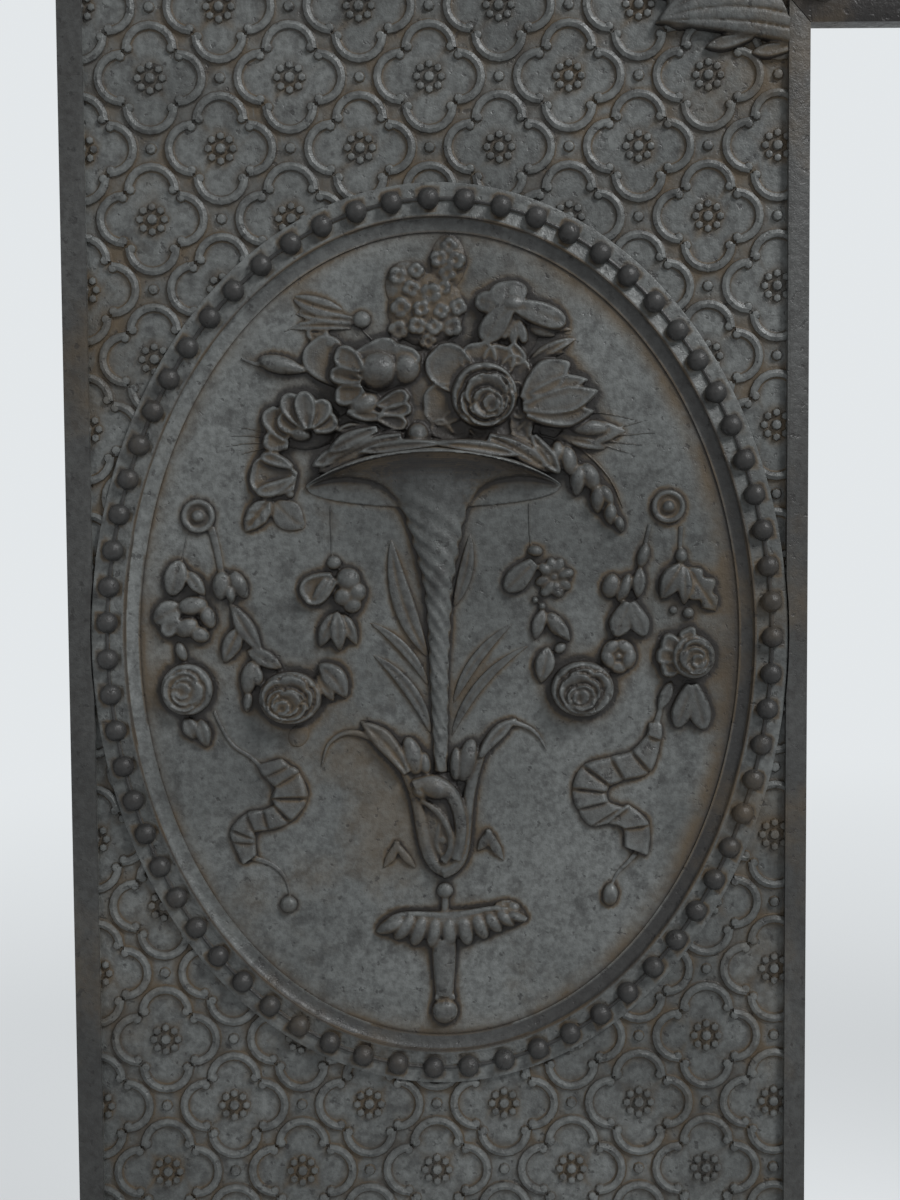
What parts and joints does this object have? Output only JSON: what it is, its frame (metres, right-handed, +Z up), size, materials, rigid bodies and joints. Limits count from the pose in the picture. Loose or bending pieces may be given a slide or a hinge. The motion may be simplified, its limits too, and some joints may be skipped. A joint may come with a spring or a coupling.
{
  "type": "cast iron fireplace insert",
  "caption": "Ornamental cast iron fireplace insert: mitred front with beaded oval flower medallions and a quatrefoil ground, and a telescoping draught curtain behind the lintel.",
  "frame": {"origin": "on the hearth, at the middle of the insert's width and depth", "axes": "+X across the hearth to the right seen from the room, +Y into the chimney, +Z up"},
  "size_m": [1.06, 0.1222, 0.91],
  "materials": {
    "cast_iron": "old cast iron with a grey-green patina and brown rust in the recesses",
    "wrought_iron": "forged black iron with light rust",
    "sheet_iron": "sooty rolled sheet iron",
    "spring_steel": "blued spring steel",
    "fasteners": "darkened steel with rust"
  },
  "bodies": {
    "front": {"jamb_left": "cast_iron", "jamb_right": "cast_iron", "lintel": "cast_iron", "medallion_left": "cast_iron", "medallion_right": "cast_iron", "corner_leaf_left": "cast_iron", "corner_leaf_right": "cast_iron", "cheek_left": "cast_iron", "cheek_right": "cast_iron", "fishplate_left": "wrought_iron", "fishplate_right": "wrought_iron", "curtain_stop_bar": "wrought_iron", "wall_tie_lower_left": "wrought_iron", "wall_tie_lower_right": "wrought_iron", "wall_tie_upper_left": "wrought_iron", "wall_tie_upper_right": "wrought_iron", "curtain_box_back": "sheet_iron", "medallion_nuts": "fasteners", "corner_leaf_pins": "fasteners", "fishplate_bolts": "fasteners", "cheek_bolts": "fasteners", "stop_bar_screws": "fasteners", "curtain_box_screws": "fasteners", "tie_bolts": "fasteners"},
    "rear_leaf": {"curtain_leaf_rear": "sheet_iron", "friction_springs_rear": "spring_steel", "spring_rivets_rear": "fasteners"},
    "middle_leaf": {"curtain_leaf_middle": "sheet_iron", "friction_springs_middle": "spring_steel", "spring_rivets_middle": "fasteners"},
    "front_leaf": {"curtain_leaf_front": "sheet_iron", "friction_springs_front": "spring_steel", "spring_rivets_front": "fasteners", "pull_strap": "wrought_iron", "pull_rivets": "fasteners"},
    "pull_ring": {"pull_ring": "wrought_iron"}
  },
  "joints": [
    {"name": "rear_leaf_slide", "type": "slide", "parent": "front", "child": "rear_leaf", "axis": [0, 0, -1], "range_m": [0, 0.2013]},
    {"name": "middle_leaf_slide", "type": "slide", "parent": "rear_leaf", "child": "middle_leaf", "axis": [0, 0, -1], "range_m": [0, 0.2013]},
    {"name": "front_leaf_slide", "type": "slide", "parent": "middle_leaf", "child": "front_leaf", "axis": [0, 0, -1], "range_m": [0, 0.2013]},
    {"name": "pull_ring_swing", "type": "hinge", "parent": "front_leaf", "child": "pull_ring", "pos_m": [0, -0.0294, 0.635], "axis": [1, 0, 0], "range_deg": [-20, 20]}
  ]
}
